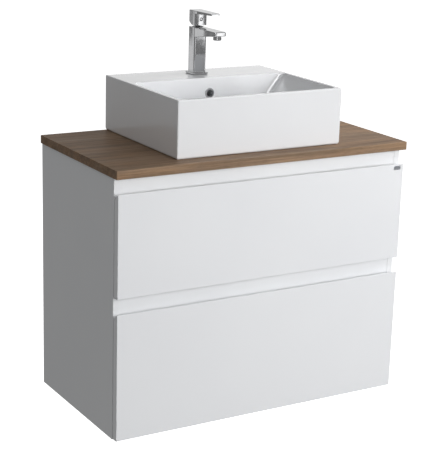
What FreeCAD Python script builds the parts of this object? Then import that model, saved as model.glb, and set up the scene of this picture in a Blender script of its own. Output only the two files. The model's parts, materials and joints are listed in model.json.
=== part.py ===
"""Wall-hung bathroom vanity: two handleless drawers, a wood-look worktop, a vessel basin and a tap.

Frame: X to the right, Y back to the wall, Z up, in millimetres. The origin is the middle of the
steel wall rail's back face, so the wall is the plane Y = 0 and the cabinet's front looks along -Y.
"""
import FreeCAD, Part
import math
import os

import Sketcher

Vector = FreeCAD.Vector
Rotation = FreeCAD.Rotation

doc = FreeCAD.newDocument("vanity")

# ---------------------------------------------------------------- driving dimensions

DIMENSIONS = {
    # cabinet
    "worktop_width": 800,
    "worktop_depth": 420,
    "worktop_thickness": 20,
    "cabinet_height": 628,
    "cabinet_top": 50,
    "side_overhang": 4,
    "side_thickness": 16,
    "side_depth": 398,
    "rail_thickness": 16,
    "upper_rail_height": 70,
    "middle_rail_height": 80,
    "back_rail_height": 100,
    "back_rail_recess": 18,
    "lower_back_rail_height": 90,
    # drawer fronts
    "front_width": 790,
    "front_thickness": 18,
    "front_back": 400,
    "front_bevel": 16,
    "upper_groove": 35,
    "middle_groove": 38,
    "upper_front_height": 244,
    "lower_front_height": 309,
    "badge_width": 20,
    "badge_height": 10,
    "badge_thickness": 0.8,
    "badge_in": 19,
    "badge_down": 9.5,
    # drawer boxes and their runners
    "drawer_depth": 350,
    "drawer_board": 12,
    "runner_gap": 13,
    "runner_length": 345,
    "runner_sheet": 1.2,
    "upper_box_low": 200,
    "upper_box_height": 155,
    "upper_runner_level": 150,
    "lower_box_low": 550,
    "lower_box_height": 235,
    "lower_runner_level": 470,
    "notch_half": 95,
    "notch_front": 290,
    "guard_wall": 4,
    # basin
    "basin_width": 452,
    "basin_depth": 376,
    "basin_height": 138,
    "basin_wall": 10,
    "basin_corner": 3.5,
    "basin_foot_radius": 6,
    "rim_radius": 2.5,
    "deck_front": 127.5,
    "deck_slab": 14,
    "bowl_depth": 105,
    "bowl_floor_half": 134,
    "bowl_floor_front": 330,
    "bowl_corner_radius": 14,
    "bowl_floor_radius": 20,
    "drain_back": 235,
    "drain_radius": 22.5,
    "overflow_drop": 39,
    "overflow_radius": 10.5,
    # waste and trap
    "waste_radius": 21,
    "waste_bore": 17.5,
    "waste_flange": 33,
    "trap_pipe_radius": 16,
    "trap_pipe_wall": 1.5,
    "trap_radius": 32,
    "trap_level": -90,
    "outlet_reach": 30,
    # tap
    "tap_back": 60,
    "tap_side": 34,
    "tap_height": 118,
    "tap_corner": 4.5,
    "tap_hole_radius": 17.5,
    "spout_reach": 114,
    "spout_root": 24,
    "spout_tip": 10.5,
    "lever_bottom": 123,
    "lever_pivot": 138,
    "lever_top": 159.5,
    "lever_plate": 7,
    "lever_reach": 86,
    # wall fixing
    "wall_rail_half": 340,
    "wall_screw_half": 300,
    "wall_screw_radius": 3.5,
}

sheet = doc.addObject("Spreadsheet::Sheet", "dims")
for row, (alias, number) in enumerate(DIMENSIONS.items(), start=1):
    sheet.set(f"A{row}", alias.replace("_", " "))
    sheet.set(f"B{row}", str(number))
    sheet.setAlias(f"B{row}", alias)
doc.recompute()


class Size:
    """A length known twice: as a number now, and as a formula over the sheet's cells."""

    def __init__(self, value, formula):
        self.value = value
        self.formula = formula

    def join(self, sign, other, value):
        return Size(value, f"({self.formula} {sign} {formula_of(other)})")

    def __add__(self, other):
        return self.join("+", other, self.value + number_of(other))

    def __sub__(self, other):
        return self.join("-", other, self.value - number_of(other))

    def __mul__(self, other):
        return self.join("*", other, self.value * number_of(other))

    def __truediv__(self, other):
        return self.join("/", other, self.value / number_of(other))

    def __neg__(self):
        return Size(-self.value, f"(0 - {self.formula})")

    def __rsub__(self, other):
        return -self + other

    __radd__ = __add__
    __rmul__ = __mul__


def number_of(size):
    return size.value if isinstance(size, Size) else float(size)


def formula_of(size):
    return size.formula if isinstance(size, Size) else f"({float(size)})"


class Cells:
    """Reads the sheet: cells.worktop_width is that cell as a Size."""

    def __getattr__(self, alias):
        return Size(float(sheet.get(alias)), f"dims.{alias}")


cells = Cells()
pieces = []


def bind(target, name, size):
    """Set one property, or one constraint, by formula."""
    if isinstance(size, Size):
        target.setExpression(name, size.formula)
    else:
        target.setExpression(name, formula_of(size))


def place(target, x=0, y=0, z=0, turn=None):
    """Give an object its Placement, bound to the sheet."""
    if turn is not None:
        target.Placement = FreeCAD.Placement(Vector(), turn)
    for letter, size in zip("xyz", (x, y, z)):
        if isinstance(size, Size) or size:
            bind(target, f"Placement.Base.{letter}", size)


def keep(target, label):
    """Name an object as one of the vanity's pieces."""
    target.Label = label
    pieces.append(target)
    return target


# ---------------------------------------------------------------- ways to make a solid


def block(name, x, y, z):
    """A box between three pairs of coordinates."""
    solid = doc.addObject("Part::Box", name)
    for side, (low, high) in zip(("Length", "Width", "Height"), (x, y, z)):
        bind(solid, side, high - low)
    place(solid, x[0], y[0], z[0])
    return solid


TURNS = {
    "x": Rotation(Vector(0, 1, 0), 90),
    "y": Rotation(Vector(1, 0, 0), -90),
    "z": Rotation(),
}


def rod(name, radius, start, length, axis="z"):
    """A cylinder from a start point along +X, +Y or +Z."""
    solid = doc.addObject("Part::Cylinder", name)
    bind(solid, "Radius", radius)
    bind(solid, "Height", length)
    place(solid, *start, turn=TURNS[axis])
    return solid


def fuse(name, *solids):
    whole = doc.addObject("Part::MultiFuse", name)
    whole.Shapes = list(solids)
    whole.Refine = True
    return whole


def cut(name, base, *tools):
    """The base less every tool."""
    tool = tools[0] if len(tools) == 1 else fuse(name + "_tools", *tools)
    result = doc.addObject("Part::Cut", name)
    result.Base = base
    result.Tool = tool
    result.Refine = True
    return result


def group(name, *solids):
    """Separate solids kept together as one piece."""
    whole = doc.addObject("Part::Compound", name)
    whole.Links = list(solids)
    return whole


def new_body(name):
    return doc.addObject("PartDesign::Body", name)


def new_sketch(body, plane, offset):
    """An empty sketch on one of the body's own origin planes, moved along the plane's normal."""
    sketch = body.newObject("Sketcher::SketchObject", f"{body.Name}_sketch")
    support = next(f for f in body.Origin.OriginFeatures if f.Role == plane)
    sketch.AttachmentSupport = [(support, "")]
    sketch.MapMode = "FlatFace"
    bind(sketch, "AttachmentOffset.Base.z", offset)
    return sketch


def fix(sketch, kind, *args):
    """Add one dimensional constraint whose last argument is a Size or a number."""
    index = sketch.addConstraint(Sketcher.Constraint(kind, *args[:-1], number_of(args[-1])))
    bind(sketch, f"Constraints[{index}]", args[-1])


def polygon(body, plane, points, offset=0):
    """A closed outline of straight lines, each corner dimensioned from the origin."""
    sketch = new_sketch(body, plane, offset)
    spots = [Vector(number_of(u), number_of(v), 0) for u, v in points]
    count = len(spots)
    for index in range(count):
        sketch.addGeometry(Part.LineSegment(spots[index], spots[(index + 1) % count]), False)
    for index in range(count):
        following = (index + 1) % count
        sketch.addConstraint(Sketcher.Constraint("Coincident", index, 2, following, 1))
    for index, (u, v) in enumerate(points):
        fix(sketch, "DistanceX", -1, 1, index, 1, u)
        fix(sketch, "DistanceY", -1, 1, index, 1, v)
    return sketch


def circles(body, plane, spots, radius, offset=0):
    """Equal circles about the given centres."""
    sketch = new_sketch(body, plane, offset)
    for u, v in spots:
        centre = Vector(number_of(u), number_of(v), 0)
        index = sketch.addGeometry(Part.Circle(centre, Vector(0, 0, 1), number_of(radius)), False)
        fix(sketch, "Radius", index, radius)
        fix(sketch, "DistanceX", -1, 1, index, 3, u)
        fix(sketch, "DistanceY", -1, 1, index, 3, v)
    return sketch


def corners(u, v):
    """The four corners of the rectangle between two pairs of coordinates."""
    return [(u[0], v[0]), (u[1], v[0]), (u[1], v[1]), (u[0], v[1])]


def pad(body, sketch, length):
    feature = body.newObject("PartDesign::Pad", f"{body.Name}_pad")
    feature.Profile = sketch
    bind(feature, "Length", length)
    doc.recompute()
    return feature


def pocket(body, sketch, length, reverse=False):
    """Cut a profile out of the body, and check that it did cut."""
    before = body.Shape.Volume
    feature = body.newObject("PartDesign::Pocket", f"{body.Name}_pocket")
    feature.Profile = sketch
    feature.Reversed = reverse
    bind(feature, "Length", length)
    doc.recompute()
    if not body.Shape.Volume < before - 1e-6:
        raise RuntimeError(f"{feature.Name} cuts nothing")
    return feature


def edge_names(shape, wanted):
    """The names of the edges for which wanted(edge) is true."""
    return [f"Edge{i}" for i, edge in enumerate(shape.Edges, start=1) if wanted(edge)]


def soften(body, wanted, radius, kind="Fillet"):
    """Fillet or chamfer the wanted edges of the body's last feature."""
    feature = body.newObject(f"PartDesign::{kind}", f"{body.Name}_{kind.lower()}")
    base = body.Tip if body.Tip != feature else feature.BaseFeature
    feature.Base = (base, edge_names(base.Shape, wanted))
    bind(feature, "Radius" if kind == "Fillet" else "Size", radius)
    doc.recompute()
    return feature


def prism(name, plane, points, start, length):
    """A body padded from one polygon."""
    body = new_body(name)
    pad(body, polygon(body, plane, points, start), length)
    return body


def turned(name, profile, at=(0, 0, 0), axis="z"):
    """A body revolved from (radius, height) corners, with its axis along +X, +Y or +Z from a point."""
    body = new_body(name)
    sketch = polygon(body, "XZ_Plane", profile)
    feature = body.newObject("PartDesign::Revolution", f"{name}_revolution")
    feature.Profile = sketch
    feature.ReferenceAxis = (sketch, ["V_Axis"])
    feature.Angle = 360
    place(body, *at, turn=TURNS[axis])
    doc.recompute()
    return body


def hexagon(radius):
    """Corners of a hexagon, given the radius across its corners."""
    angles = [math.radians(60 * step) for step in range(6)]
    return [(radius * math.cos(angle), radius * math.sin(angle)) for angle in angles]


def spans(edge, axis):
    """How far an edge runs along X, Y or Z."""
    box = edge.BoundBox
    return {"x": box.XLength, "y": box.YLength, "z": box.ZLength}[axis]


def upright(edge):
    return spans(edge, "z") > 1 and spans(edge, "x") < 0.01 and spans(edge, "y") < 0.01


def is_open(edge):
    """True for any edge with two ends, so not for a whole circle."""
    return len(edge.Vertexes) == 2


def level_at(height):
    """A test for edges that lie flat at one height."""
    return lambda edge: spans(edge, "z") < 0.01 and abs(edge.BoundBox.ZMin - number_of(height)) < 0.01


# ---------------------------------------------------------------- levels used by more than one piece

side_outer = cells.worktop_width / 2 - cells.side_overhang
side_inner = side_outer - cells.side_thickness
box_outer = side_inner - cells.runner_gap
box_inner = box_outer - cells.drawer_board
cabinet_top = cells.cabinet_top
cabinet_bottom = cabinet_top - cells.cabinet_height
floor_top = cabinet_bottom + cells.side_thickness
worktop_top = cabinet_top + cells.worktop_thickness
rim = worktop_top + cells.basin_height
bowl_floor = rim - cells.bowl_depth
upper_front_top = cabinet_top - cells.upper_groove
upper_front_bottom = upper_front_top - cells.upper_front_height
lower_front_top = upper_front_bottom - cells.middle_groove
lower_front_bottom = lower_front_top - cells.lower_front_height
rail_face = 1 - cells.side_depth
SIGNS = {"left": -1, "right": 1}


def between(sign, inner, outer):
    """A pair of X coordinates on the left (-1) or right (+1) side, lowest first."""
    return (-outer, -inner) if sign < 0 else (inner, outer)


# ---------------------------------------------------------------- cabinet


board_edge_radius = 0.8


def side_panel(side):
    x = between(SIGNS[side], side_inner, side_outer)
    profile = corners((-cells.side_depth, 0), (cabinet_bottom, cabinet_top))
    body = prism(f"side_panel_{side}", "YZ_Plane", profile, x[0], cells.side_thickness)
    front = -number_of(cells.side_depth)
    soften(body, lambda edge: edge.BoundBox.YMax < front + 0.01, board_edge_radius)
    keep(body, f"side_panel_{side}")


def wood_rail(label, y, z):
    keep(block(label, (-side_inner, side_inner), y, z), label)


def hanging_rail():
    """The recessed back rail, notched at its ends for the hooks of the hanging brackets."""
    profile = corners((-side_inner, side_inner), (cabinet_top - cells.back_rail_height, cabinet_top))
    recess = cells.back_rail_recess
    body = prism("hanging_rail", "XZ_Plane", profile, recess, cells.rail_thickness)
    notch_width = 34
    notch_depth = 40
    for sign in SIGNS.values():
        x = between(sign, side_inner - notch_width, side_inner + 1)
        outline = corners(x, (cabinet_top - notch_depth, cabinet_top + 1))
        sketch = polygon(body, "XZ_Plane", outline, recess)
        pocket(body, sketch, cells.rail_thickness, reverse=True)
    keep(body, "hanging_rail")


tap_access_back = 64
tap_access_radius = 27
waste_hole_radius = 25


def worktop():
    """The wood-look slab with its waste hole and the access hole under the tap."""
    half = cells.worktop_width / 2
    outline = corners((-half, half), (-cells.worktop_depth, 0))
    body = prism("worktop", "XY_Plane", outline, cabinet_top, cells.worktop_thickness)
    for back, radius in ((cells.drain_back, waste_hole_radius), (tap_access_back, tap_access_radius)):
        sketch = circles(body, "XY_Plane", [(0, -back)], radius, worktop_top)
        pocket(body, sketch, cells.worktop_thickness)
    front = -number_of(cells.worktop_depth)
    soften(body, lambda edge: upright(edge) and edge.BoundBox.YMax < front + 1, 1)
    soften(body, lambda edge: level_at(worktop_top)(edge) and is_open(edge), board_edge_radius)
    keep(body, "worktop")


angle_leg = 20
angle_gauge = 2
angle_length = 30
angle_screw_in = 12
screw_hole_radius = 2.2


def angle_outline(sign, leg, gauge, turn):
    """An L section against a side (-1 left, +1 right); turn is -1 to hang down and +1 to stand up."""
    outline = [(0, 0), (leg, 0), (leg, gauge), (gauge, gauge), (gauge, leg), (0, leg)]
    return [(-sign * u, turn * v) for u, v in outline]


def worktop_angle(name, sign, front):
    """A small steel angle under the worktop, on a side panel, with a screw hole in its upper leg."""
    body = prism(name, "XZ_Plane", angle_outline(sign, angle_leg, angle_gauge, -1), 0, angle_length)
    spot = (-sign * angle_screw_in, -angle_length / 2)
    hole = circles(body, "XY_Plane", [spot], screw_hole_radius, 0)
    pocket(body, hole, angle_gauge)
    place(body, side_inner * sign, front + angle_length, cabinet_top)
    return body


def wood_screw(name, at, axis, length, sign=1):
    """A pan head screw: its head at a point, its shank running along the axis."""
    shank = 2
    head = 4
    tip = 3
    profile = [
        (0, -2.2),
        (2.5, -2.2),
        (head, -0.8),
        (head, 0),
        (shank, 0),
        (shank, length - tip),
        (0, length),
    ]
    flipped = [(radius, sign * height) for radius, height in profile]
    return turned(name, flipped, at, axis)


def worktop_fixings():
    fronts = {"front": -360, "back": -110}
    screw_length = 16
    brackets = []
    screws = []
    for side, sign in SIGNS.items():
        for place_name, front in fronts.items():
            name = f"angle_{side}_{place_name}"
            brackets.append(worktop_angle(name, sign, front))
            x = (side_inner - angle_screw_in) * sign
            at = (x, front + angle_length / 2, cabinet_top - angle_gauge)
            screws.append(wood_screw(f"{name}_screw", at, "z", screw_length))
    keep(group("worktop_fixings", *brackets, *screws), "worktop_fixings")


# ---------------------------------------------------------------- wall fixing

lip_front = 10
lip_gauge = 2
lip_low = 8
lip_high = 22
strip_low = -20


def wall_rail():
    """The steel strip screwed to the wall, its upper edge joggled forward as a lip for the hooks."""
    profile = [
        (0, strip_low),
        (0, lip_low + lip_gauge),
        (lip_gauge - lip_front, lip_low + lip_gauge),
        (lip_gauge - lip_front, lip_high),
        (-lip_front, lip_high),
        (-lip_front, lip_low),
        (-lip_gauge, lip_low),
        (-lip_gauge, strip_low),
    ]
    body = prism("wall_rail", "YZ_Plane", profile, -cells.wall_rail_half, cells.wall_rail_half * 2)
    spots = [(-cells.wall_screw_half, 0), (cells.wall_screw_half, 0)]
    sketch = circles(body, "XZ_Plane", spots, cells.wall_screw_radius, -1)
    pocket(body, sketch, lip_gauge + 2, reverse=True)
    keep(body, "wall_rail")


housing_front = -66
housing_back = -36
housing_width = 26
adjuster_levels = (-10, 30)


def hanging_bracket(side):
    """A housing in the cabinet's corner, with an arm over the back rail to the wall rail's lip."""
    housing_low = -30
    housing_high = 44
    arm_low = lip_high + 0.5
    arm_high = arm_low + 4
    hook_front = -7.5
    hook_back = -3.5
    hook_low = 12
    profile = [
        (housing_front, housing_low),
        (housing_back, housing_low),
        (housing_back, arm_low),
        (hook_front, arm_low),
        (hook_front, hook_low),
        (hook_back, hook_low),
        (hook_back, arm_high),
        (housing_back, arm_high),
        (housing_back, housing_high),
        (housing_front, housing_high),
    ]
    x = between(SIGNS[side], side_inner - housing_width, side_inner)
    body = prism(f"hanging_bracket_{side}", "YZ_Plane", profile, x[0], housing_width)
    spots = [(x[0] + housing_width / 2, level) for level in adjuster_levels]
    seat_radius = 4
    seat_depth = 6
    seats = circles(body, "XZ_Plane", spots, seat_radius, 1 - housing_front)
    pocket(body, seats, seat_depth + 1)
    return body


def hanging_brackets():
    """Both hanging brackets, each with its two adjusting screws."""
    parts = [hanging_bracket(side) for side in SIGNS]
    screw = [(0, 2.5), (1.5, 1), (3.6, 1), (3.6, 5.5), (0, 5.5)]
    for side, sign in SIGNS.items():
        x = (side_inner - housing_width / 2) * sign
        for number, level in enumerate(adjuster_levels):
            parts.append(turned(f"adjuster_{side}_{number}", screw, (x, housing_front, level), "y"))
    keep(group("hanging_brackets", *parts), "hanging_brackets")


# ---------------------------------------------------------------- drawer runners

runner_front = 396


def channel(name, sign, web, flange, half, level):
    """A C-section rail, from its web to its flanges' edges in depths inwards from the side panel."""
    sheet_depth = cells.runner_sheet if web < flange else -cells.runner_sheet
    inside = half - cells.runner_sheet
    outline = [
        (web, -half),
        (flange, -half),
        (flange, -inside),
        (web + sheet_depth, -inside),
        (web + sheet_depth, inside),
        (flange, inside),
        (flange, half),
        (web, half),
    ]
    points = [((side_inner - depth) * sign, rise - level) for depth, rise in outline]
    return prism(name, "XZ_Plane", points, runner_front - cells.runner_length, cells.runner_length)


# each rail's web, its flanges' edges and half its height
RAIL_SECTIONS = {"cabinet": (0, 11, 22.5), "middle": (1.8, 11.4, 20.3), "drawer": (13, 4.5, 17.5)}


def runner_rails(kind, *levels):
    """One kind of rail, left and right, at each level: on the cabinet, floating, or on the drawer."""
    web, flange, half = RAIL_SECTIONS[kind]
    return [
        channel(f"{kind}_rail_{side}", sign, web, flange, half, level)
        for level in levels
        for side, sign in SIGNS.items()
    ]


# ---------------------------------------------------------------- drawers


def front_profile(bottom, top):
    """A front seen from the side: square below, with a 45 degree grip bevel behind the upper edge."""
    face = -cells.front_back - cells.front_thickness
    back = -cells.front_back
    bevel_foot = (back, top - cells.front_bevel)
    return [(face, bottom), (back, bottom), bevel_foot, (face + 1, top), (face, top)]


def drawer_front(storey, bottom, top):
    half = cells.front_width / 2
    name = f"drawer_front_{storey}"
    body = prism(name, "YZ_Plane", front_profile(bottom, top), -half, cells.front_width)
    face = -number_of(cells.front_back + cells.front_thickness)
    soften(body, lambda edge: abs(edge.BoundBox.YMax - face) < 0.01, board_edge_radius)
    keep(body, name)


def drawer_side(storey, side, low, height):
    name = f"drawer_side_{storey}_{side}"
    x = between(SIGNS[side], box_inner, box_outer)
    y = (-cells.front_back, cells.drawer_depth - cells.front_back)
    keep(block(name, x, y, (-low, height - low)), name)


base_lift = 8
base_board = 10
back_drop = 15
guard_drop = 17


def drawer_base(storey, low):
    """The bottom board between the drawer sides; it stops short of the back board's outer face."""
    back = cells.drawer_depth - cells.front_back
    outline = corners((-box_inner, box_inner), (-cells.front_back, back))
    if storey == "upper":
        outline = [
            (-box_inner, -cells.front_back),
            (box_inner, -cells.front_back),
            (box_inner, back),
            (cells.notch_half, back),
            (cells.notch_half, -cells.notch_front),
            (-cells.notch_half, -cells.notch_front),
            (-cells.notch_half, back),
            (-box_inner, back),
        ]
    name = f"drawer_base_{storey}"
    keep(prism(name, "XY_Plane", outline, base_lift - low, base_board), name)


def drawer_back(name, x, low, height):
    back = cells.drawer_depth - cells.front_back
    z = (base_lift + base_board - low, height - back_drop - low)
    return block(name, x, (back - cells.drawer_board, back), z)


def trap_guard():
    """The moulded U that walls off the notch round the trap."""
    wall = cells.guard_wall
    inner = cells.notch_half
    back = cells.drawer_depth - cells.front_back - cells.drawer_board
    outline = [
        (-inner - wall, back),
        (-inner - wall, -cells.notch_front - wall),
        (inner + wall, -cells.notch_front - wall),
        (inner + wall, back),
        (inner, back),
        (inner, -cells.notch_front),
        (-inner, -cells.notch_front),
        (-inner, back),
    ]
    lift = base_lift + base_board
    height = cells.upper_box_height - lift - guard_drop
    body = prism("trap_guard", "XY_Plane", outline, lift - cells.upper_box_low, height)
    keep(body, "trap_guard")


def front_fixings(storey, low, height):
    """Steel angles that hold the front to the drawer sides, and the screws through them."""
    leg = 18
    gauge = 1.5
    angle_height = 20
    screw_in = 11
    screw_length = 14
    angles = []
    screws = []
    for side, sign in SIGNS.items():
        for share in (0.3, 0.8):
            level = height * share - low
            name = f"front_angle_{storey}_{side}_{len(angles)}"
            body = prism(name, "XY_Plane", angle_outline(sign, leg, gauge, 1), 0, angle_height)
            spot = (-sign * screw_in, angle_height / 2)
            hole = circles(body, "XZ_Plane", [spot], screw_hole_radius, -leg)
            pocket(body, hole, leg + 1, reverse=True)
            place(body, box_inner * sign, -cells.front_back, level)
            angles.append(body)
            x = (box_inner - screw_in) * sign
            at = (x, gauge - cells.front_back, level + angle_height / 2)
            screws.append(wood_screw(f"{name}_screw", at, "y", screw_length, sign=-1))
    keep(group(f"front_fixings_{storey}", *angles, *screws), f"front_fixings_{storey}")


def badge():
    """A blank metal tag in the upper front's right corner."""
    half_width = cells.badge_width / 2
    half_height = cells.badge_height / 2
    centre_x = cells.front_width / 2 - cells.badge_in
    centre_z = upper_front_top - cells.badge_down
    outline = corners(
        (centre_x - half_width, centre_x + half_width),
        (centre_z - half_height, centre_z + half_height),
    )
    face = cells.front_back + cells.front_thickness
    body = prism("blank_badge", "XZ_Plane", outline, face, cells.badge_thickness)
    soften(body, lambda edge: spans(edge, "y") > 0.5, 3)
    keep(body, "blank_badge")


def drawer(storey, front, box, level):
    """One drawer without its back: front as (bottom, top) levels, box as (depth below zero, height)."""
    low, height = box
    drawer_front(storey, *front)
    for side in SIGNS:
        drawer_side(storey, side, low, height)
    for kind in ("middle", "drawer"):
        label = f"{kind}_rails_{storey}"
        keep(group(label, *runner_rails(kind, level)), label)
    drawer_base(storey, low)
    front_fixings(storey, low, height)


# ---------------------------------------------------------------- basin


def bowl_core(name, grow):
    """The bowl's square-cornered space: splayed sides and front, upright back; grown for the shell."""
    floor = bowl_floor - grow
    above = rim + 5
    stretch = (above - floor) / (rim - floor)
    half_floor = cells.bowl_floor_half + grow
    half_rim = cells.basin_width / 2 - cells.basin_wall + grow
    half_top = half_floor + (half_rim - half_floor) * stretch
    back = -cells.deck_front + grow
    front_floor = -cells.bowl_floor_front - grow
    front_rim = cells.basin_wall - cells.basin_depth - grow
    front_top = front_floor + (front_rim - front_floor) * stretch
    profile = [(-half_floor, floor), (half_floor, floor), (half_top, above), (-half_top, above)]
    body = prism(name, "XZ_Plane", profile, -back, back - front_top)
    wedge = [(front_top, floor), (front_floor, floor), (front_top, above)]
    sketch = polygon(body, "YZ_Plane", wedge, -half_top - 1)
    pocket(body, sketch, (half_top + 1) * 2, reverse=True)
    return body


def rounded_bowl():
    """The bowl's space with its upright corners and its floor's edge rounded."""
    body = bowl_core("basin_bowl", 0)
    half_depth = number_of(cells.bowl_depth) / 2
    floor = number_of(bowl_floor)
    soften(body, lambda edge: spans(edge, "z") > half_depth, cells.bowl_corner_radius)
    soften(body, lambda edge: edge.BoundBox.ZMax < floor + 0.01, cells.bowl_floor_radius)
    return body


duct_half = 18
duct_depth = (10, 28)
duct_lift = 9
duct_run_half = 14
duct_run_height = 10
duct_wall = 8
rib_half = 24
drain_boss_radius = 44
flange_seat = 2.5


def basin_hollow():
    """The space under the bowl and the deck, round the rib and boss that hold the overflow duct."""
    half = cells.basin_width / 2
    wall = cells.basin_wall
    inside = block(
        "basin_inside",
        (wall - half, half - wall),
        (wall - cells.basin_depth, -wall),
        (worktop_top - 1, rim - cells.deck_slab),
    )
    riser = block(
        "riser_wall",
        (-duct_half - duct_wall, duct_half + duct_wall),
        (-cells.deck_front, duct_depth[1] + wall - cells.deck_front),
        (worktop_top, rim),
    )
    rib = block(
        "duct_rib",
        (-rib_half, rib_half),
        (-cells.drain_back, -cells.deck_front),
        (worktop_top, bowl_floor),
    )
    at = (0, -cells.drain_back, worktop_top)
    boss = rod("drain_boss", drain_boss_radius, at, bowl_floor - worktop_top)
    shell = bowl_core("basin_bowl_shell", wall)
    return cut("basin_hollow", inside, shell, riser, rib, boss)


def overflow_duct():
    """The hole in the bowl's back wall, the riser behind it and the run forward to the drain."""
    low = worktop_top + duct_lift
    back = -cells.deck_front
    riser = block(
        "duct_riser",
        (-duct_half, duct_half),
        (back + duct_depth[0], back + duct_depth[1]),
        (low, rim - cells.deck_slab - duct_depth[0]),
    )
    run = block(
        "duct_run",
        (-duct_run_half, duct_run_half),
        (-cells.drain_back, back + duct_depth[0] + 2),
        (low, low + duct_run_height),
    )
    hole_start = (0, back - 5, rim - cells.overflow_drop)
    hole = rod("overflow_hole", cells.overflow_radius, hole_start, duct_depth[0] + 10, "y")
    return fuse("overflow_duct", riser, run, hole)


def basin():
    """A hollow glazed casting: outer walls, splayed bowl, tap deck and a rib with the overflow duct."""
    half = cells.basin_width / 2
    outline = corners((-half, half), (-cells.basin_depth, 0))
    outer = prism("basin_outer", "XY_Plane", outline, worktop_top, cells.basin_height)
    soften(outer, upright, cells.basin_corner)
    soften(outer, level_at(worktop_top), cells.basin_foot_radius)
    below = (0, -cells.drain_back, worktop_top - 1)
    seat_start = (0, -cells.drain_back, bowl_floor - flange_seat)
    drain = fuse(
        "drain_hole",
        rod("drain_bore", cells.drain_radius, below, cells.basin_height),
        rod("drain_seat", cells.waste_flange + 0.5, seat_start, 20),
    )
    tap_start = (0, -cells.tap_back, worktop_top)
    tap_hole = rod("tap_hole", cells.tap_hole_radius, tap_start, cells.basin_height + 5)
    raw = cut("basin_raw", outer, rounded_bowl(), basin_hollow(), overflow_duct(), drain, tap_hole)
    doc.recompute()
    hole_radius = number_of(cells.tap_hole_radius)

    def on_rim(edge):
        if not level_at(rim)(edge):
            return False
        return not isinstance(edge.Curve, Part.Circle) or edge.Curve.Radius < hole_radius - 0.5

    radius = number_of(cells.rim_radius)
    finished = doc.addObject("Part::Fillet", "basin")
    finished.Base = raw
    finished.Edges = [(int(name[4:]), radius, radius) for name in edge_names(raw.Shape, on_rim)]
    keep(finished, "basin")


def overflow_ring():
    profile = [(8.5, 0), (12.5, 0.3), (12.8, 1.2), (12.8, 1.6), (10.4, 1.6), (10.4, 10), (8.5, 10)]
    at = (0, -cells.deck_front - 1.6, rim - cells.overflow_drop)
    keep(turned("overflow_ring", profile, at, "y"), "overflow_ring")


# ---------------------------------------------------------------- waste and trap

slip = 0.05
spider_drop = 42
spider_height = 6
hub_radius = 8
guide_radius = 5.1


def waste():
    """The flanged waste tube and its spider, with the washer and nut that clamp it to the worktop."""
    back = -cells.drain_back
    axis_at = (0, back, 0)
    top = bowl_floor
    outer = cells.waste_radius
    bore = cells.waste_bore
    tube = turned(
        "waste_tube",
        [
            (bore, 4),
            (outer, 4),
            (outer, top - flange_seat),
            (cells.waste_flange, top - flange_seat),
            (cells.waste_flange, top - 0.8),
            (cells.waste_flange - 3, top),
            (bore + 5, top),
            (bore, top - 6),
        ],
        axis_at,
    )
    spider_low = top - spider_drop
    spider = block(
        "waste_spider",
        (-bore - 1, bore + 1),
        (back - 3, back + 3),
        (spider_low, spider_low + spider_height),
    )
    hub = rod("waste_hub", hub_radius, (0, back, spider_low - 4), 10)
    guide = rod("waste_guide", guide_radius, (0, back, spider_low - 5), 12)
    slots = block("waste_slots", (-9, 9), (back - 30, back + 30), (top - 24, top - 14))
    keep(cut("waste_body", fuse("waste_solid", tube, spider, hub), guide, slots), "waste_body")
    seal_thickness = 4
    seal_low = cabinet_top - seal_thickness
    washer = [
        (outer + 0.2, seal_low),
        (cells.waste_flange, seal_low),
        (cells.waste_flange, cabinet_top),
        (outer + 0.2, cabinet_top),
    ]
    keep(turned("waste_washer", washer, axis_at), "waste_washer")
    nut_height = 10
    nut = prism("waste_nut", "XY_Plane", hexagon(31), seal_low - nut_height, nut_height)
    place(nut, y=back)
    pocket(nut, circles(nut, "XY_Plane", [(0, 0)], outer + slip, seal_low), nut_height)
    keep(nut, "waste_nut")


plug_lift = 9


def plug():
    """The click-clack plug, drawn raised: a domed cap, its seal and the stem that slides in the hub."""
    axis_at = (0, -cells.drain_back, bowl_floor)
    cap_radius = 31
    seal_radius = 28
    neck_radius = 11.5
    stem_radius = guide_radius - slip
    cap = [
        (0, plug_lift),
        (cap_radius - 1, plug_lift),
        (cap_radius, plug_lift + 0.8),
        (cap_radius - 1, plug_lift + 2),
        (cap_radius / 2, plug_lift + 3.4),
        (0, plug_lift + 4),
    ]
    keep(turned("plug_cap", cap, axis_at), "plug_cap")
    seal = [
        (neck_radius + 0.5, plug_lift - 2),
        (seal_radius - 1, plug_lift - 2),
        (seal_radius, plug_lift),
        (neck_radius + 0.5, plug_lift),
    ]
    keep(turned("plug_seal", seal, axis_at), "plug_seal")
    stem = [
        (0, -58),
        (stem_radius, -58),
        (stem_radius, -6),
        (neck_radius, -2),
        (neck_radius, plug_lift),
        (0, plug_lift),
    ]
    keep(turned("plug_stem", stem, axis_at), "plug_stem")


nut_radius = 26
thread_radius = 20
trap_bore_gap = 0.3


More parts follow.
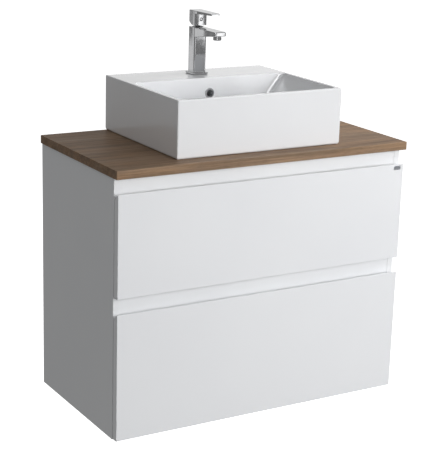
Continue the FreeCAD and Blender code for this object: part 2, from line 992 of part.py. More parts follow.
def trap_nuts(axis_at, outlet_at):
    """The three union nuts: waste to inlet pipe, inlet pipe to bottle, and bottle to outlet pipe."""
    pipe = cells.trap_pipe_radius + trap_bore_gap
    tail = cells.waste_radius + slip
    spigot = thread_radius + trap_bore_gap
    level = cells.trap_level
    spigot_end = 50 - cells.drain_back
    inlet_nut = [
        (pipe, -12),
        (nut_radius, -12),
        (nut_radius + 1, -10),
        (nut_radius + 1, 20),
        (tail, 20),
        (tail, 0.5),
        (pipe, 0.5),
    ]
    top_nut = [
        (pipe, level + 52),
        (pipe, level + 46.2),
        (spigot, level + 46.2),
        (spigot, level + 33),
        (nut_radius, level + 33),
        (nut_radius, level + 50),
        (nut_radius - 2, level + 52),
    ]
    outlet_nut = [
        (spigot, spigot_end - 10),
        (nut_radius, spigot_end - 10),
        (nut_radius, spigot_end + 6),
        (nut_radius - 2, spigot_end + 8),
        (pipe, spigot_end + 8),
        (pipe, spigot_end + 0.3),
        (spigot, spigot_end + 0.3),
    ]
    nuts = [
        turned("trap_inlet_nut", inlet_nut, axis_at),
        turned("trap_top_nut", top_nut, axis_at),
        turned("trap_outlet_nut", outlet_nut, outlet_at, "y"),
    ]
    keep(group("trap_nuts", *nuts), "trap_nuts")


def trap_bottle(axis_at):
    """The bottle with its threaded neck and side spigot, and the cup screwed on from below."""
    pipe = cells.trap_pipe_radius
    bottle = cells.trap_radius
    level = cells.trap_level
    wall = 3
    shell = turned(
        "trap_shell",
        [
            (bottle - wall, level - 30),
            (bottle, level - 30),
            (bottle, level + 26),
            (bottle - 8, level + 32),
            (thread_radius, level + 32),
            (thread_radius, level + 46),
            (pipe + 0.2, level + 46),
            (pipe + 0.2, level + 28),
            (bottle - 9, level + 28),
            (bottle - wall, level + 23),
        ],
        axis_at,
    )
    spigot = rod("trap_spigot", thread_radius, (0, 28 - cells.drain_back, level), 22, "y")
    spigot_bore = rod("trap_spigot_bore", pipe + 0.2, (0, 20 - cells.drain_back, level), 40, "y")
    keep(cut("trap_bottle", fuse("trap_solid", shell, spigot), spigot_bore), "trap_bottle")
    cup = [
        (0, level - 78),
        (20, level - 78),
        (bottle, level - 66),
        (bottle + 2, level - 48),
        (bottle + 2, level - 30),
        (bottle - wall, level - 30),
        (bottle - wall, level - 62),
        (18, level - 74),
        (0, level - 74),
    ]
    keep(turned("trap_cup", cup, axis_at), "trap_cup")


def trap():
    """A bottle trap: inlet pipe from the waste, bottle and cup, and outlet pipe into the wall."""
    pipe = cells.trap_pipe_radius
    inside = pipe - cells.trap_pipe_wall
    collar = cells.waste_radius - 0.5
    level = cells.trap_level
    axis_at = (0, -cells.drain_back, 0)
    outlet_at = (0, 0, level)
    inlet = [
        (inside, level - 45),
        (pipe, level - 45),
        (pipe, 0.5),
        (collar, 0.5),
        (collar, 3.5),
        (inside, 3.5),
    ]
    keep(turned("trap_inlet_pipe", inlet, axis_at), "trap_inlet_pipe")
    trap_bottle(axis_at)
    trap_nuts(axis_at, outlet_at)
    bead = 1.4
    outlet = [
        (inside, 34 - cells.drain_back),
        (pipe, 34 - cells.drain_back),
        (pipe, -6),
        (pipe + bead, -6),
        (pipe + bead, 0),
        (pipe, 0),
        (pipe, cells.outlet_reach),
        (inside, cells.outlet_reach),
    ]
    keep(turned("trap_outlet_pipe", outlet, outlet_at, "y"), "trap_outlet_pipe")
    hole = pipe + bead + trap_bore_gap
    flange = [(hole, -9), (24, -9), (27, -7), (38, -2), (38, 0), (hole, 0)]
    keep(turned("wall_flange", flange, outlet_at, "y"), "wall_flange")


# ---------------------------------------------------------------- tap

gasket = 1
plate_thickness = 4
plate_half = 21
foot_bore = 15.5
inlet_side = 8
inlet_forward = 53
inlet_radius = 4.5
stud_forward = 70
stud_radius = 4


def square(half, centre_y):
    return corners((-half, half), (-centre_y - half, half - centre_y))


def foot_plate(name, half, low, thickness):
    """A square plate under the tap, open in the middle for the hoses."""
    body = prism(name, "XY_Plane", square(half, cells.tap_back), low, thickness)
    hole = circles(body, "XY_Plane", [(0, -cells.tap_back)], foot_bore, low + thickness)
    pocket(body, hole, thickness)
    return body


def tap_base_plate():
    top = rim + gasket + plate_thickness
    body = foot_plate("tap_base_plate", plate_half, rim + gasket, plate_thickness)
    soften(body, upright, 2.5)
    soften(body, lambda edge: level_at(top)(edge) and is_open(edge), 1)
    keep(body, "tap_base_plate")


cartridge_radius = 13
cartridge_depth = 53
aerator_in = 16


def tap_body():
    """The square column and flat spout, bored for the cartridge, the waterways, the stud and the hoses."""
    foot = rim + gasket + plate_thickness
    top = rim + cells.tap_height
    half = cells.tap_side / 2
    body = new_body("tap_column")
    pad(body, polygon(body, "XY_Plane", square(half, cells.tap_back), foot), top - foot)
    soften(body, upright, cells.tap_corner)
    axis = -cells.tap_back
    spout_tip = axis - cells.spout_reach
    spout = prism(
        "tap_spout",
        "YZ_Plane",
        [
            (axis, top),
            (axis, top - cells.spout_root),
            (axis - half, top - cells.spout_root),
            (spout_tip + 34, top - cells.spout_tip - 4),
            (spout_tip, top - cells.spout_tip),
            (spout_tip, top),
        ],
        0.5 - half,
        cells.tap_side - 1,
    )
    tip = number_of(spout_tip)
    soften(spout, lambda edge: upright(edge) and edge.BoundBox.YMax < tip + 1, 4)
    soften(spout, lambda edge: abs(edge.BoundBox.YMin - tip) < 4.1 and spans(edge, "z") < 0.01, 1.6)
    deep = top - cartridge_depth - 1
    outlet = spout_tip + aerator_in
    tools = [
        rod("cartridge_bore", cartridge_radius + 0.1, (0, axis, deep), 80),
        rod("aerator_seat", 9.2, (0, outlet, top - 40), 34),
        rod("spout_waterway", 3.5, (0, outlet, top - 9), cells.spout_reach - 22, "y"),
        rod("stud_socket", stud_radius + slip, (0, -stud_forward, foot - 1), 16),
    ]
    for side, sign in SIGNS.items():
        at = (sign * inlet_side, -inlet_forward, foot - 1)
        tools.append(rod(f"{side}_inlet", inlet_radius, at, deep - foot + 2))
    keep(cut("tap_body", fuse("tap_solid", body, spout), *tools), "tap_body")


def aerator():
    """The round outlet under the spout's tip: a threaded shell round a perforated insert."""
    hang = 22
    jet_radius = 0.7
    rings = ((0, 1), (2.6, 6), (5.2, 12))
    at = (0, aerator_in - cells.tap_back - cells.spout_reach, rim + cells.tap_height - hang)
    shell = [(7.6, 0), (9.4, 0.6), (10.2, 2), (10.2, 7.8), (9.1, 7.8), (9.1, 15), (7.6, 15)]
    keep(turned("aerator_shell", shell, at), "aerator_shell")
    insert = turned("aerator_disc", [(0, 3), (7.5, 3), (7.5, 9), (0, 9)], at)
    jets = []
    for ring_radius, count in rings:
        for step in range(count):
            angle = 2 * math.pi * step / count
            x = ring_radius * math.cos(angle)
            y = at[1] + ring_radius * math.sin(angle)
            jets.append(rod(f"jet_{count}_{step}", jet_radius, (x, y, at[2] + 2), 10))
    keep(cut("aerator_insert", insert, *jets), "aerator_insert")


def cartridge():
    """The mixing cartridge, the nut that holds it down and the collar that covers the nut."""
    at = (0, -cells.tap_back, rim + cells.tap_height)
    low = -cartridge_depth
    mixer = [
        (0, low),
        (cartridge_radius - 1, low),
        (cartridge_radius, low + 3),
        (cartridge_radius, -16),
        (9, -14),
        (0, -14),
    ]
    keep(turned("cartridge", mixer, at), "cartridge")
    nut_outer = cartridge_radius - 0.1
    nut = [(8.6, -13.5), (nut_outer, -13.5), (nut_outer, -2), (8.6, -2)]
    keep(turned("cartridge_nut", nut, at), "cartridge_nut")
    collar = [(8.4, 0), (14.6, 0), (14.6, 0.8), (11, 2.2), (8.4, 2.2)]
    keep(turned("cartridge_collar", collar, at), "cartridge_collar")


deck_underside = rim - cells.deck_slab


def horseshoe(name, radius, low, thickness):
    """A disc under the deck, slotted from the back for the hoses and drilled for the stud."""
    body = new_body(name)
    pad(body, circles(body, "XY_Plane", [(0, -cells.tap_back)], radius, low), thickness)
    slot = corners((-14.5, 14.5), (-64, -20))
    pocket(body, polygon(body, "XY_Plane", slot, low + thickness), thickness)
    hole = circles(body, "XY_Plane", [(0, -stud_forward)], stud_radius + 0.2, low + thickness)
    pocket(body, hole, thickness)
    return body


seal_thickness = 2.5
washer_thickness = 2


def tap_clamp():
    """What holds the tap down from below the deck: a stud, a horseshoe washer and a nut."""
    stud_hang = 46
    stud_bite = 14
    stud_length = stud_hang + gasket + plate_thickness + stud_bite
    stud = rod("tap_stud", stud_radius, (0, -stud_forward, rim - stud_hang), stud_length)
    keep(stud, "tap_stud")
    washer_low = deck_underside - seal_thickness - washer_thickness
    keep(horseshoe("clamp_washer", 24, washer_low, washer_thickness), "clamp_washer")
    nut_height = 10
    nut = prism("clamp_nut", "XY_Plane", hexagon(7.5), 0, nut_height)
    place(nut, y=-stud_forward, z=washer_low - nut_height)
    pocket(nut, circles(nut, "XY_Plane", [(0, 0)], stud_radius + slip, nut_height), nut_height)
    keep(nut, "clamp_nut")


def tap_seals():
    """The gasket on the deck and the horseshoe seal below it."""
    upper = foot_plate("tap_gasket", 19.5, rim, gasket)
    lower = horseshoe("clamp_seal", 25, deck_underside - seal_thickness, seal_thickness)
    keep(group("tap_seals", upper, lower), "tap_seals")


pin_radius = 2


def tap_turret():
    """The neck that turns on the cartridge, with the tang that carries the lever's cross pin."""
    axis = -cells.tap_back
    pivot = cells.lever_pivot - cells.tap_height
    neck_radius = 8
    tang_radius = 5
    outline = [
        (0, -13.6),
        (neck_radius, -13.6),
        (neck_radius, 2.6),
        (tang_radius, 3.6),
        (tang_radius, pivot + 4.5),
        (0, pivot + 4.5),
    ]
    neck = turned("turret_neck", outline, (0, axis, rim + cells.tap_height))
    eye = rod("turret_eye", pin_radius, (-20, axis, rim + cells.lever_pivot), 40, "x")
    keep(cut("tap_turret", neck, eye), "tap_turret")
    pin_start = (-12.5, axis, rim + cells.lever_pivot)
    keep(rod("lever_pin", pin_radius - 0.02, pin_start, 25, "x"), "lever_pin")


def lever_indicator(front, pivot):
    """The dished button in the lever head's front face."""
    disc = [
        (0, 0.2),
        (2.4, 0.2),
        (2.6, 0.5),
        (3.4, 0.5),
        (3.6, -0.3),
        (4.4, -0.3),
        (4.5, 0.3),
        (4.5, 1.5),
        (0, 1.5),
    ]
    keep(turned("lever_indicator", disc, (0, front, pivot), "y"), "lever_indicator")


def lever():
    """The square lever head with its flat blade, hollowed from below for the turret's tang."""
    half = cells.tap_side / 2
    axis = -cells.tap_back
    front = axis - half
    back = axis + half
    low = rim + cells.lever_bottom
    high = rim + cells.lever_top
    pivot = rim + cells.lever_pivot
    head = prism(
        "lever_head",
        "YZ_Plane",
        [
            (front, low),
            (back - 16.4, low),
            (back, low + 9.6),
            (back, high),
            (front, high),
        ],
        -half,
        cells.tap_side,
    )
    soften(head, upright, cells.tap_corner)
    blade_tip = axis - cells.lever_reach
    root_half = half - 0.4
    tip_half = half - 4
    blade = prism(
        "lever_blade",
        "XY_Plane",
        [
            (-root_half, axis),
            (-root_half, front - 6),
            (-tip_half, blade_tip),
            (tip_half, blade_tip),
            (root_half, front - 6),
            (root_half, axis),
        ],
        high - cells.lever_plate,
        cells.lever_plate,
    )
    tip = number_of(blade_tip)
    soften(blade, lambda edge: upright(edge) and edge.BoundBox.YMax < tip + 1, 4)
    tip_thickness = 4.5
    relief = prism(
        "blade_relief",
        "YZ_Plane",
        [
            (blade_tip - 1, high - cells.lever_plate - 1),
            (front - 6, high - cells.lever_plate - 1),
            (front - 6, high - cells.lever_plate),
            (blade_tip - 1, high - tip_thickness),
        ],
        -20,
        40,
    )
    cavity = block("lever_cavity", (-5.4, 5.4), (axis - 8, axis + 12.2), (low - 1, pivot + 8))
    bore = rod("lever_bore", pin_radius + slip, (-13, axis, pivot), 26, "x")
    seat = rod("indicator_seat", 4.6, (0, front - 1, pivot), 2.6, "y")
    raw = cut("lever_raw", fuse("lever_solid", head, blade), relief, cavity, bore, seat)
    doc.recompute()
    finished = doc.addObject("Part::Fillet", "lever")
    finished.Base = raw
    top_edges = edge_names(raw.Shape, level_at(high))
    finished.Edges = [(int(name[4:]), 1.2, 1.2) for name in top_edges]
    keep(finished, "lever")
    lever_indicator(front, pivot)


# ---------------------------------------------------------------- assembly


def build_cabinet():
    for side in SIGNS:
        side_panel(side)
    inner = (-side_inner, side_inner)
    keep(block("bottom_panel", inner, (rail_face, 0), (cabinet_bottom, floor_top)), "bottom_panel")
    rail_y = (rail_face, rail_face + cells.rail_thickness)
    wood_rail("grip_rail_upper", rail_y, (cabinet_top - cells.upper_rail_height, cabinet_top))
    middle_low = lower_front_top - cells.front_bevel - 7
    wood_rail("grip_rail_middle", rail_y, (middle_low, middle_low + cells.middle_rail_height))
    back_y = (-cells.back_rail_recess - cells.rail_thickness, -cells.back_rail_recess)
    wood_rail("lower_back_rail", back_y, (floor_top, floor_top + cells.lower_back_rail_height))
    hanging_rail()
    worktop()
    worktop_fixings()
    wall_rail()
    hanging_brackets()
    levels = (cells.upper_runner_level, cells.lower_runner_level)
    keep(group("cabinet_rails", *runner_rails("cabinet", *levels)), "cabinet_rails")


def build_drawers():
    upper_box = (cells.upper_box_low, cells.upper_box_height)
    lower_box = (cells.lower_box_low, cells.lower_box_height)
    upper_front = (upper_front_bottom, upper_front_top)
    lower_front = (lower_front_bottom, lower_front_top)
    drawer("upper", upper_front, upper_box, cells.upper_runner_level)
    drawer("lower", lower_front, lower_box, cells.lower_runner_level)
    halves = [
        drawer_back(f"back_board_{side}", between(sign, cells.notch_half, box_inner), *upper_box)
        for side, sign in SIGNS.items()
    ]
    keep(group("drawer_back_upper", *halves), "drawer_back_upper")
    keep(drawer_back("drawer_back_lower", (-box_inner, box_inner), *lower_box), "drawer_back_lower")
    trap_guard()
    badge()


def build_plumbing():
    basin()
    overflow_ring()
    waste()
    plug()
    trap()


def build_tap():
    tap_base_plate()
    tap_body()
    aerator()
    cartridge()
    tap_clamp()
    tap_seals()
    tap_turret()
    lever()


def check_document():
    """Stop if any object failed, or if any piece is empty or invalid."""
    doc.recompute()
    failed = [item.Name for item in doc.Objects if {"Invalid", "Error"} & set(item.State)]
    for piece in pieces:
        if piece.Shape.isNull() or not piece.Shape.isValid() or piece.Shape.Volume <= 0:
            failed.append(piece.Label)
    if failed:
        raise RuntimeError(f"failed: {failed}")


def export():
    os.makedirs("parts", exist_ok=True)
    for piece in pieces:
        piece.Shape.exportStep(f"parts/{piece.Label}.step")
    print(len(pieces), "pieces written")


build_cabinet()
build_drawers()
build_plumbing()
build_tap()
check_document()
export()
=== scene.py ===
import json
import math

import bmesh
import bpy
from mathutils import Matrix, Vector


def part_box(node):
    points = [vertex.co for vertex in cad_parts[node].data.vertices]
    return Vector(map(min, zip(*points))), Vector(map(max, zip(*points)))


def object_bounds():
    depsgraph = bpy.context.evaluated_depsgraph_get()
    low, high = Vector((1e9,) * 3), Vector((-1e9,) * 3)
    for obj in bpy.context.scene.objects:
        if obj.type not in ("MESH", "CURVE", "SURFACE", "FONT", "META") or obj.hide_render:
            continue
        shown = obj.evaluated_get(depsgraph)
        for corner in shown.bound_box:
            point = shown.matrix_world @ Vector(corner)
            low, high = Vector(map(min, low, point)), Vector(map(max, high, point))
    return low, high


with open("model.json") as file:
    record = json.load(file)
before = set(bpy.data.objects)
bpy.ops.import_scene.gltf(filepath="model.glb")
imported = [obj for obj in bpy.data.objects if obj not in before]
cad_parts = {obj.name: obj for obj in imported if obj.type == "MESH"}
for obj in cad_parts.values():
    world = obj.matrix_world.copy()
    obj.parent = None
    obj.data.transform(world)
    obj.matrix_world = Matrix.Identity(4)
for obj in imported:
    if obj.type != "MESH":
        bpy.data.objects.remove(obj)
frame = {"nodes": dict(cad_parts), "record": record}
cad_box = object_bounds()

# ---------------------------------------------------------------- small tools for node materials


def even(value):
    return (value, value, value)


def set_stops(ramp, stops):
    """Fill a colour ramp: stops are (position, colour)."""
    elements = ramp.color_ramp.elements
    while len(elements) < len(stops):
        elements.new(0.5)
    for element, (position, colour) in zip(elements, stops):
        element.position = position
        element.color = (*colour, 1.0)


class Surface:
    """A principled material whose colour, roughness and bump are built up from noise in object space."""

    def __init__(self, name, colour, roughness, metallic=0.0, coat=0.0, coat_roughness=0.04, specular=0.5):
        self.material = bpy.data.materials.new(name)
        self.material.use_nodes = True
        self.tree = self.material.node_tree
        self.shader = self.tree.nodes["Principled BSDF"]
        self.shader.inputs["Base Color"].default_value = (*colour, 1.0)
        self.shader.inputs["Roughness"].default_value = roughness
        self.shader.inputs["Metallic"].default_value = metallic
        self.shader.inputs["Coat Weight"].default_value = coat
        self.shader.inputs["Coat Roughness"].default_value = coat_roughness
        self.shader.inputs["Specular IOR Level"].default_value = specular
        self.place = self.tree.nodes.new("ShaderNodeTexCoord").outputs["Object"]
        self.height = None

    def node(self, kind, **values):
        made = self.tree.nodes.new(kind)
        for name, value in values.items():
            setattr(made, name, value)
        return made

    def link(self, source, target):
        self.tree.links.new(source, target)

    def noise(self, stretch, detail=4.0, rough=0.55, distortion=0.0):
        """Noise with its own cycles per metre along X, Y and Z."""
        mapping = self.node("ShaderNodeMapping")
        mapping.inputs["Scale"].default_value = stretch
        self.link(self.place, mapping.inputs["Vector"])
        noise = self.node("ShaderNodeTexNoise")
        noise.inputs["Scale"].default_value = 1.0
        noise.inputs["Detail"].default_value = detail
        noise.inputs["Roughness"].default_value = rough
        noise.inputs["Distortion"].default_value = distortion
        self.link(mapping.outputs["Vector"], noise.inputs["Vector"])
        return noise.outputs["Fac"]

    def ramp(self, source, stops):
        """Colours along a source: stops are (position, colour)."""
        ramp = self.node("ShaderNodeValToRGB")
        set_stops(ramp, stops)
        self.link(source, ramp.inputs["Fac"])
        return ramp.outputs["Color"]

    def spread(self, source, low, high):
        """Map a noise's usual 0.3 to 0.7 onto low to high."""
        ranged = self.node("ShaderNodeMapRange")
        ranged.inputs["From Min"].default_value = 0.3
        ranged.inputs["From Max"].default_value = 0.7
        ranged.inputs["To Min"].default_value = low
        ranged.inputs["To Max"].default_value = high
        self.link(source, ranged.inputs["Value"])
        return ranged.outputs["Result"]

    def mix(self, factor, first, second, blend="MIX"):
        """Mix two colours: the factor is a number or a socket, and each colour is a tuple or a socket."""
        mixer = self.node("ShaderNodeMix", data_type="RGBA", blend_type=blend)
        if isinstance(factor, float):
            mixer.inputs["Factor"].default_value = factor
        else:
            self.link(factor, mixer.inputs["Factor"])
        for socket, value in (("A", first), ("B", second)):
            target = next(each for each in mixer.inputs if each.name == socket and each.type == "RGBA")
            if isinstance(value, tuple):
                target.default_value = (*value, 1.0)
            else:
                self.link(value, target)
        return next(each for each in mixer.outputs if each.type == "RGBA")

    def colour(self, source):
        self.link(source, self.shader.inputs["Base Color"])

    def roughness(self, source):
        self.link(source, self.shader.inputs["Roughness"])

    def bump(self, source, distance, strength=1.0):
        """Add one more layer of bump, its distance in metres."""
        bump = self.node("ShaderNodeBump")
        bump.inputs["Strength"].default_value = strength
        bump.inputs["Distance"].default_value = distance
        self.link(source, bump.inputs["Height"])
        if self.height is not None:
            self.link(self.height, bump.inputs["Normal"])
        self.height = bump.outputs["Normal"]
        self.link(self.height, self.shader.inputs["Normal"])


# ---------------------------------------------------------------- materials


def lacquer():
    """White gloss lacquer on the fronts, with the faint orange peel of sprayed paint."""
    made = Surface("white_lacquer", (0.80, 0.81, 0.825), 0.22, coat=0.6)
    cloud = made.noise(even(3.0), detail=2.0)
    made.colour(made.mix(made.spread(cloud, 0.0, 1.0), (0.79, 0.80, 0.82), (0.815, 0.825, 0.84)))
    made.roughness(made.spread(made.noise(even(18.0)), 0.17, 0.27))
    made.bump(made.noise(even(420.0), detail=1.0), 0.00004, 0.25)
    return made.material


def melamine():
    """White melamine board: satin, with a fine pearl texture."""
    made = Surface("white_melamine", (0.78, 0.79, 0.80), 0.38)
    fine = made.noise(even(900.0), detail=2.0)
    cloud = made.noise(even(2.2), detail=3.0)
    made.colour(made.mix(made.spread(cloud, 0.0, 1.0), (0.77, 0.78, 0.795), (0.80, 0.81, 0.82)))
    made.roughness(made.spread(fine, 0.32, 0.46))
    made.bump(fine, 0.00005, 0.35)
    return made.material


def walnut():
    """Wood-look laminate whose grain runs along the worktop: bands, streaks and short dark pores."""
    made = Surface("wood_laminate", (0.2, 0.14, 0.1), 0.4, specular=0.12)
    bands = made.noise((1.6, 22.0, 22.0), detail=3.0, distortion=0.6)
    streaks = made.noise((4.0, 160.0, 160.0), detail=6.0, rough=0.6, distortion=0.3)
    pores = made.noise((30.0, 1400.0, 1400.0), detail=2.0)
    base = made.ramp(
        bands,
        [(0.30, (0.180, 0.121, 0.079)), (0.48, (0.262, 0.183, 0.124)), (0.70, (0.355, 0.255, 0.174))],
    )
    warm = made.noise((5.0, 30.0, 30.0), detail=2.0, distortion=0.8)
    base = made.mix(made.spread(warm, 0.0, 0.55), base, (0.430, 0.255, 0.135))
    veined = made.mix(made.spread(streaks, 0.0, 0.75), base, (0.130, 0.086, 0.056))
    dots = made.ramp(pores, [(0.36, (0.55, 0.52, 0.50)), (0.46, (1.0, 1.0, 1.0))])
    made.colour(made.mix(0.7, veined, dots, blend="MULTIPLY"))
    made.roughness(made.spread(streaks, 0.46, 0.60))
    made.bump(streaks, 0.00025, 0.35)
    made.bump(pores, 0.00008, 0.4)
    return made.material


def glaze():
    """White glazed ceramic: a smooth wet-looking coat over a slightly wavy body."""
    made = Surface("white_glaze", (0.80, 0.80, 0.80), 0.16, coat=1.0, coat_roughness=0.14)
    cloud = made.noise(even(6.0), detail=2.0)
    made.colour(made.mix(made.spread(cloud, 0.0, 1.0), (0.796, 0.804, 0.820), (0.818, 0.826, 0.842)))
    made.roughness(made.spread(made.noise(even(35.0)), 0.12, 0.20))
    made.bump(made.noise(even(14.0), detail=1.0), 0.0005, 0.12)
    return made.material


def chrome():
    """Polished chrome with the faintest polishing haze."""
    made = Surface("polished_chrome", (0.56, 0.565, 0.575), 0.05, metallic=1.0)
    made.roughness(made.spread(made.noise(even(60.0), detail=5.0), 0.03, 0.10))
    made.bump(made.noise((30.0, 30.0, 9.0), detail=0.0), 0.0010, 0.6)
    return made.material


def zinc():
    """Zinc plated pressed steel: mottled spangle and rolling lines."""
    made = Surface("zinc_steel", (0.55, 0.56, 0.57), 0.35, metallic=1.0)
    spangle = made.noise(even(120.0), detail=2.0)
    made.colour(made.mix(made.spread(spangle, 0.0, 1.0), (0.48, 0.49, 0.50), (0.64, 0.65, 0.66)))
    made.roughness(made.spread(made.noise((20.0, 500.0, 500.0)), 0.26, 0.48))
    made.bump(made.noise((15.0, 600.0, 600.0)), 0.00004, 0.4)
    return made.material


def brass():
    """Machined brass: tight turning lines about the upright axis."""
    made = Surface("machined_brass", (0.62, 0.44, 0.19), 0.3, metallic=1.0)
    turned = made.noise((90.0, 90.0, 1500.0), detail=2.0)
    made.colour(made.mix(made.spread(turned, 0.0, 1.0), (0.52, 0.36, 0.15), (0.70, 0.51, 0.25)))
    made.roughness(made.spread(turned, 0.2, 0.42))
    made.bump(turned, 0.00005, 0.4)
    return made.material


def rubber():
    """Black rubber with a dusty bloom."""
    made = Surface("black_rubber", (0.02, 0.02, 0.021), 0.7)
    bloom = made.noise(even(200.0))
    made.colour(made.mix(made.spread(bloom, 0.0, 1.0), (0.014, 0.014, 0.015), (0.035, 0.035, 0.036)))
    made.bump(bloom, 0.00008, 0.5)
    return made.material


def plastic():
    """Grey moulded plastic with a fine grain."""
    made = Surface("grey_plastic", (0.55, 0.56, 0.57), 0.45)
    grain = made.noise(even(1300.0), detail=2.0)
    cloud = made.noise(even(9.0))
    made.colour(made.mix(made.spread(cloud, 0.0, 1.0), (0.52, 0.53, 0.54), (0.60, 0.61, 0.62)))
    made.roughness(made.spread(grain, 0.38, 0.55))
    made.bump(grain, 0.00006, 0.5)
    return made.material


def dark_ring():
    """The lever's indicator: a dark glossy ring about a pale centre, told apart by distance from its axis."""
    made = Surface("indicator", (0.05, 0.05, 0.055), 0.2, coat=0.5)
    ramp_length = 0.005
    low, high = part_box("lever_indicator")
    centre = (Vector(low) + Vector(high)) / 2
    shift = made.node("ShaderNodeMapping")
    shift.inputs["Location"].default_value = -centre
    made.link(made.place, shift.inputs["Vector"])
    flat = made.node("ShaderNodeVectorMath", operation="MULTIPLY")
    flat.inputs[1].default_value = (1.0, 0.0, 1.0)
    made.link(shift.outputs["Vector"], flat.inputs[0])
    distance = made.node("ShaderNodeVectorMath", operation="LENGTH")
    made.link(flat.outputs["Vector"], distance.inputs[0])
    scaled = made.node("ShaderNodeMath", operation="MULTIPLY")
    scaled.inputs[1].default_value = 1.0 / ramp_length
    made.link(distance.outputs["Value"], scaled.inputs[0])
    rings = [(0.0, (0.62, 0.62, 0.63)), (0.50, (0.60, 0.60, 0.61)), (0.56, (0.03, 0.03, 0.035))]
    made.colour(made.ramp(scaled.outputs["Value"], rings))
    made.bump(made.noise(even(500.0)), 0.00003, 0.3)
    return made.material


def brushed():
    """The blank badge: brushed aluminium, its lines along X."""
    made = Surface("brushed_tag", (0.62, 0.64, 0.67), 0.3, metallic=0.9)
    lines = made.noise((40.0, 3000.0, 3000.0), detail=3.0)
    made.colour(made.mix(made.spread(lines, 0.0, 1.0), (0.52, 0.55, 0.60), (0.72, 0.74, 0.77)))
    made.roughness(made.spread(lines, 0.22, 0.4))
    made.bump(lines, 0.00004, 0.4)
    return made.material


FINISHES = {
    "white_board": melamine(),
    "white_front": lacquer(),
    "worktop_laminate": walnut(),
    "glazed_ceramic": glaze(),
    "chrome": chrome(),
    "zinc_steel": zinc(),
    "brass": brass(),
    "rubber": rubber(),
    "grey_plastic": plastic(),
    "dark_ring": dark_ring(),
    "brushed_tag": brushed(),
}


def finish_nodes():
    """Give every CAD node the finish of its slot in the record."""
    for entry in frame["record"]["subparts"]:
        node = frame["nodes"][entry["node"]]
        finish = FINISHES[entry["material_slot"]]
        if not node.material_slots:
            node.data.materials.append(finish)
        for slot in node.material_slots:
            slot.material = finish


# ---------------------------------------------------------------- stage, light and camera


def stage_piece(name, mesh, colour, glow):
    """A glowing matt stage object: pale for the camera, and left out of reflections and bounced light."""
    paper = Surface(f"{name}_paper", colour, 0.9)
    paper.shader.inputs["Emission Color"].default_value = (1.0, 1.0, 1.0, 1.0)
    paper.shader.inputs["Emission Strength"].default_value = glow
    mesh.materials.append(paper.material)
    made = bpy.data.objects.new(name, mesh)
    made.visible_diffuse = False
    made.visible_glossy = False
    bpy.context.collection.objects.link(made)
    return made


def primitive(name, create, **sizes):
    """A mesh made by one of bmesh's create operators."""
    build = bmesh.new()
    create(build, **sizes)
    mesh = bpy.data.meshes.new(name)
    build.to_mesh(mesh)
    build.free()
    return mesh


def floor_and_backdrop():
    """A plain pale floor under the hanging cabinet, and a pale shell far behind it on every side."""
    gap_under_cabinet = 0.30
    floor_reach = 30.0
    shell_radius = 29.0
    low, _ = cad_box
    flat = primitive("floor", bmesh.ops.create_grid, x_segments=1, y_segments=1, size=floor_reach)
    ground = stage_piece("floor", flat, even(0.93), 0.80)
    ground.location = (0, 0, low[2] - gap_under_cabinet)
    ball = primitive("backdrop", bmesh.ops.create_uvsphere, u_segments=48, v_segments=24, radius=shell_radius)
    shell = stage_piece("backdrop", ball, even(0.05), 1.05)
    shell.visible_shadow = False


def softbox(name, place, target, size, power, diffuse=True, gloss=True):
    """A rectangular lamp aimed at a point and hidden from the camera; it may skip matt or glossy light."""
    light = bpy.data.lights.new(name, "AREA")
    light.shape = "RECTANGLE"
    light.size, light.size_y = size
    light.energy = power
    lamp = bpy.data.objects.new(name, light)
    lamp.location = place
    aim = Vector(target) - Vector(place)
    lamp.rotation_euler = aim.to_track_quat("-Z", "Y").to_euler()
    lamp.visible_camera = False
    lamp.visible_diffuse = diffuse
    lamp.visible_glossy = gloss
    bpy.context.collection.objects.link(lamp)


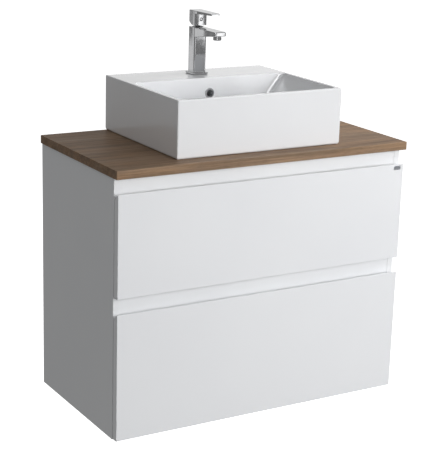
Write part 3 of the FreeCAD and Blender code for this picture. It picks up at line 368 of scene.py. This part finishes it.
def surround():
    """A grey room, dim all round and brightest overhead: a ramp over the height of each direction."""
    world = bpy.data.worlds.new("studio")
    bpy.context.scene.world = world
    world.use_nodes = True
    tree = world.node_tree
    place = tree.nodes.new("ShaderNodeTexCoord")
    parts = tree.nodes.new("ShaderNodeSeparateXYZ")
    height = tree.nodes.new("ShaderNodeMapRange")
    height.inputs["From Min"].default_value = -1.0
    ramp = tree.nodes.new("ShaderNodeValToRGB")
    greys = [(0.0, 0.30), (0.33, 0.24), (0.46, 0.25), (0.58, 0.25), (0.72, 0.33), (1.0, 0.42)]
    set_stops(ramp, [(position, even(grey)) for position, grey in greys])
    tree.links.new(place.outputs["Generated"], parts.inputs["Vector"])
    tree.links.new(parts.outputs["Z"], height.inputs["Value"])
    tree.links.new(height.outputs["Result"], ramp.inputs["Fac"])
    tree.links.new(ramp.outputs["Color"], tree.nodes["Background"].inputs["Color"])


def lights():
    """A soft key from the front right, two fill panels, and lamps that show only in glaze and chrome."""
    key = {"place": (1.35, -3.4, 0.70), "target": (0, -0.3, -0.1), "size": (2.0, 1.4)}
    softbox("key", **key, power=97, gloss=False)
    softbox("key_reflected", **key, power=30, diffuse=False)
    softbox("side", (1.5, -0.2, 1.1), (0.2, -0.2, 0.1), (0.8, 0.8), 18)
    softbox("rear_panel", (1.75, 3.0, 0.85), (0, 0, 0.2), (3.4, 1.5), 9)
    tap = (0, -0.06, 0.25)
    bowl_corner = (0.2, -0.13, 0.17)
    reflected = [
        ("strip", (1.68, -3.05, 0.04), tap, (0.11, 0.45), 0.25),
        ("left_panel", (-0.28, 0.37, 0.18), tap, (0.04, 0.30), 0.022),
        ("high_sparkle", (-1.5, -2.1, 1.7), (0.1, -0.2, 0.15), (0.5, 0.5), 2.4),
        ("low_sparkle", (-1.5, -2.6, -0.35), (-0.2, -0.3, 0.1), (0.4, 0.6), 2.3),
        ("bowl_panel", (-0.97, -2.08, 1.34), bowl_corner, (2.4, 1.0), 50),
    ]
    for name, place, target, size, power in reflected:
        softbox(name, place, target, size, power, diffuse=False)


def camera():
    """The view from the front left, looking down, with a slight roll and a long lens."""
    place = (-1.707, -3.058, 0.770)
    focal_by_height = 1375 / 460
    yaw, pitch, roll = (math.radians(angle) for angle in (-30.92, -15.72, 1.73))
    view = bpy.data.cameras.new("camera")
    view.sensor_width = 36.0
    view.lens = focal_by_height * view.sensor_width
    eye = bpy.data.objects.new("camera", view)
    turn = Matrix.Rotation(yaw, 4, "Z") @ Matrix.Rotation(math.pi / 2 + pitch, 4, "X")
    eye.matrix_world = Matrix.Translation(place) @ turn @ Matrix.Rotation(roll, 4, "Z")
    bpy.context.collection.objects.link(eye)
    bpy.context.scene.camera = eye


finish_nodes()
floor_and_backdrop()
surround()
lights()
camera()
bpy.context.scene.view_settings.view_transform = "Standard"
